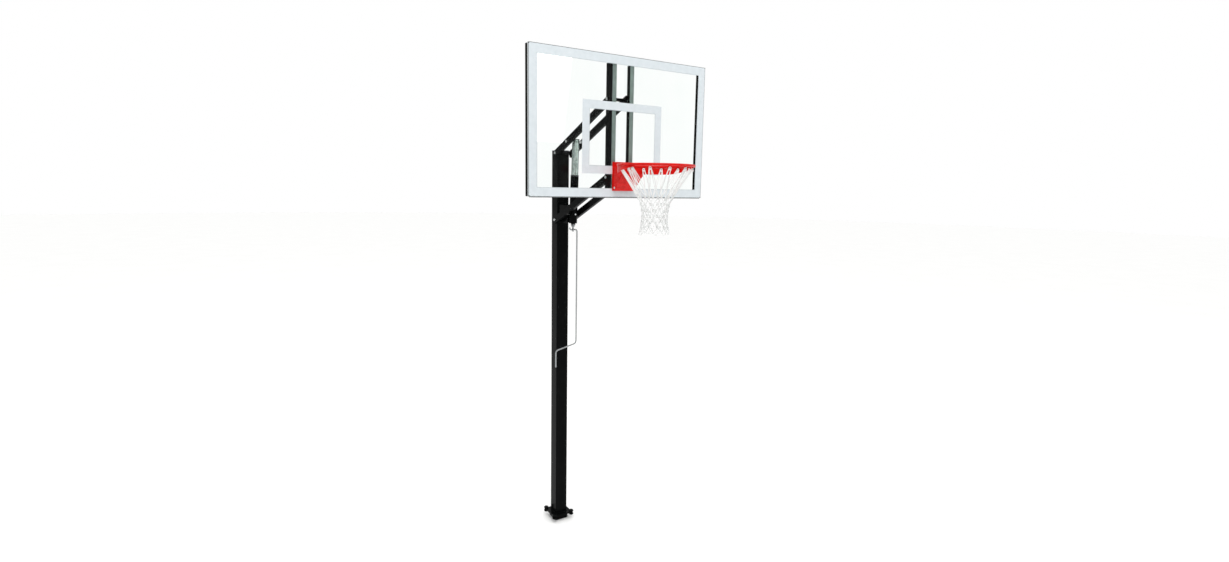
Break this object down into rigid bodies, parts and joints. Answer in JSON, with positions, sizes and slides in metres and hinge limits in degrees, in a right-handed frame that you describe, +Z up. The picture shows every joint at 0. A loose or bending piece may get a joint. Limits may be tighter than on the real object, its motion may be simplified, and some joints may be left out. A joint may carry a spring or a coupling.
{
  "type": "adjustable basketball hoop",
  "caption": "Basketball hoop on a square pole: glass backboard on parallel arms, breakaway rim with net, and a crank that sets its height.",
  "frame": {"origin": "centre of the underside of the square foot under the pole", "axes": "+Z up the pole, -Y towards the court and the ring, +X to the right of a player who faces the board"},
  "size_m": [1.3716, 1.6118, 3.6354],
  "materials": {
    "black_paint": "gloss black powder coat over steel",
    "red_paint": "orange-red powder coat",
    "zinc": "bright zinc plating on fasteners and the crank",
    "bright_steel": "plain turned steel, lightly oiled",
    "bronze": "turned bearing bronze",
    "black_plastic": "moulded black plastic",
    "pale_tube": "pale grey-green zinc plating, drawn tube",
    "glass": "clear tempered glass with green edges",
    "net_cord": "white braided cord"
  },
  "bodies": {
    "root": {"foot_stub": "black_paint", "base_plate": "black_paint", "anchor_bolt_1": "black_paint", "anchor_bolt_2": "black_paint", "anchor_bolt_3": "black_paint", "anchor_bolt_4": "black_paint", "pole_tube": "black_paint", "pole_cap": "black_plastic", "upper_pivot_sleeve": "black_paint", "lower_pivot_sleeve": "black_paint", "upper_pivot_bolt": "zinc", "lower_pivot_bolt": "zinc", "actuator_ear_left": "black_paint", "actuator_ear_right": "black_paint", "trunnion_bolt": "zinc"},
    "upper_arms": {"upper_arm_left": "black_paint", "upper_arm_right": "black_paint", "lift_bolt": "zinc", "lift_bolt_spacer_left": "zinc", "lift_bolt_spacer_right": "zinc"},
    "lower_arms": {"lower_arm_left": "black_paint", "lower_arm_right": "black_paint"},
    "backboard": {"glass_panel": "glass", "frame_bottom": "black_paint", "frame_top": "black_paint", "frame_left": "black_paint", "frame_right": "black_paint", "upright_left": "black_paint", "upright_right": "black_paint", "upper_board_spacer": "black_paint", "lower_board_spacer": "black_paint", "upper_board_bolt": "zinc", "lower_board_bolt": "zinc", "rim_plate": "red_paint", "rim_bolt_1": "zinc", "rim_bolt_2": "zinc", "rim_bolt_3": "zinc", "rim_bolt_4": "zinc", "rim_hinge_pin": "zinc", "breakaway_spring": "zinc"},
    "rim": {"rim_ring": "red_paint", "rim_brace": "red_paint", "rim_housing": "red_paint", "net": "net_cord"},
    "lift_tube": {"lift_tube": "pale_tube", "lift_tube_cap": "black_plastic", "lift_nut": "bronze"},
    "actuator_housing": {"actuator_housing": "black_paint", "housing_bush": "black_plastic", "screw_bearing": "bronze", "bearing_screw": "zinc", "housing_fork": "black_paint", "yoke_pin": "zinc", "trunnion_lug": "black_paint"},
    "lead_screw": {"lead_screw": "bright_steel"},
    "crank_yoke": {"crank_yoke": "zinc"},
    "crank": {"crank_eye": "bright_steel", "crank_rod": "zinc"}
  },
  "joints": [
    {"name": "height_adjust", "type": "hinge", "parent": "root", "child": "upper_arms", "pos_m": [0, -0.0625, 3.04], "axis": [-1, 0, 0], "range_deg": [-45.6, 9.8]},
    {"name": "lower_arm_swing", "type": "hinge", "parent": "root", "child": "lower_arms", "pos_m": [0, -0.0625, 2.528], "axis": [-1, 0, 0], "range_deg": [-45.6, 9.8]},
    {"name": "board_level", "type": "hinge", "parent": "upper_arms", "child": "backboard", "pos_m": [0, -0.81987, 3.36461], "axis": [-1, 0, 0], "range_deg": [-9.8, 45.6]},
    {"name": "rim_breakaway", "type": "hinge", "parent": "backboard", "child": "rim", "pos_m": [0, -0.9173, 2.783], "axis": [1, 0, 0], "range_deg": [0, 18], "stiffness_Nm_per_rad": 900, "springref_deg": -20.05},
    {"name": "lift_tube_tilt", "type": "hinge", "parent": "upper_arms", "child": "lift_tube", "pos_m": [0, -0.24449, 3.118], "axis": [-1, 0, 0], "range_deg": [-10, 45.8]},
    {"name": "lift_tube_slide", "type": "slide", "parent": "lift_tube", "child": "actuator_housing", "axis": [0, 0.0506, -0.9987], "range_m": [-0.1516, 0.0327]},
    {"name": "lead_screw_turn", "type": "hinge", "parent": "actuator_housing", "child": "lead_screw", "pos_m": [0, -0.21363, 2.50878], "axis": [0, -0.0506, 0.9987], "continuous": true},
    {"name": "crank_swing", "type": "hinge", "parent": "actuator_housing", "child": "crank_yoke", "pos_m": [0, -0.21312, 2.49879], "axis": [-1, 0, 0], "range_deg": [0, 40]},
    {"name": "crank_turn", "type": "hinge", "parent": "crank_yoke", "child": "crank", "pos_m": [0, -0.21312, 2.45979], "axis": [0, 0, 1], "continuous": true}
  ],
  "couplings": [
    {"joint": "lower_arm_swing", "follows": "height_adjust", "ratio": 1},
    {"joint": "board_level", "follows": "height_adjust", "ratio": -1},
    {"joint": "lift_tube_tilt", "follows": "height_adjust", "ratio": -1},
    {"joint": "lift_tube_slide", "follows": "height_adjust", "m_per_rad": 0.1902},
    {"joint": "lead_screw_turn", "follows": "crank_turn", "ratio": 1}
  ]
}
